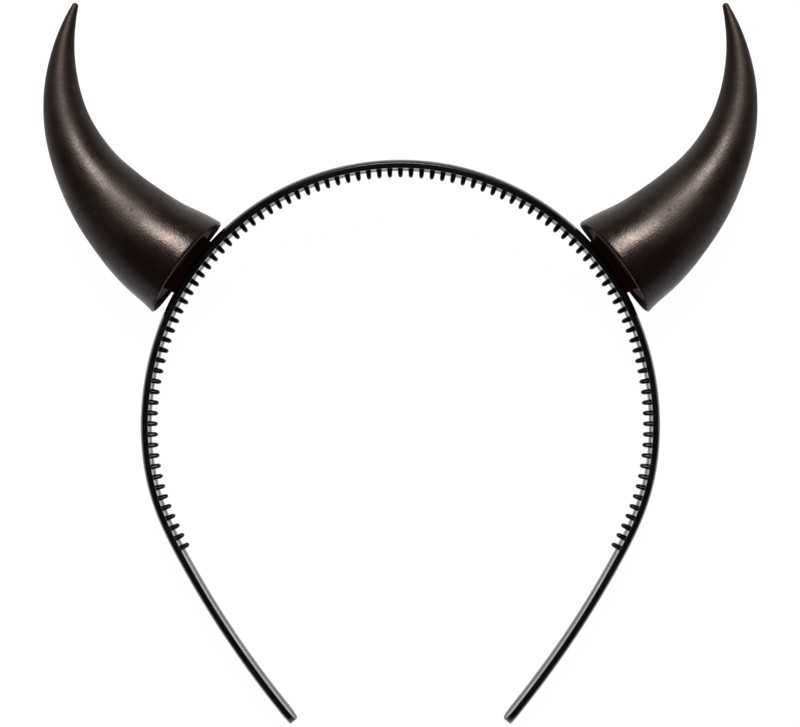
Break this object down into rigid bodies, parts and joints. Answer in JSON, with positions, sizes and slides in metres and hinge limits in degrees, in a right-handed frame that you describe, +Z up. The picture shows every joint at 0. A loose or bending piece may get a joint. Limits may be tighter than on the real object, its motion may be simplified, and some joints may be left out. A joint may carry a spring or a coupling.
{
  "type": "devil horns headband",
  "caption": "Springy black headband with comb teeth inside and two hollow, curved devil horns seated on its outside.",
  "frame": {"origin": "middle of the bounding box, on the surface that the headband lies on", "axes": "+X across from the left horn to the right one, +Y from the free ends towards the horns, +Z up, out of the front of the headband as it lies on its back"},
  "size_m": [0.1938, 0.195, 0.0304],
  "materials": {
    "strip": "glossy black moulded plastic",
    "horn": "satin brown-black plastic with a soft bronze sheen",
    "horn_base": "satin black plastic"
  },
  "bodies": {
    "root": {"headband": "strip", "horn_left": "horn", "horn_right": "horn", "horn_base_left": "horn_base", "horn_base_right": "horn_base"}
  },
  "joints": []
}
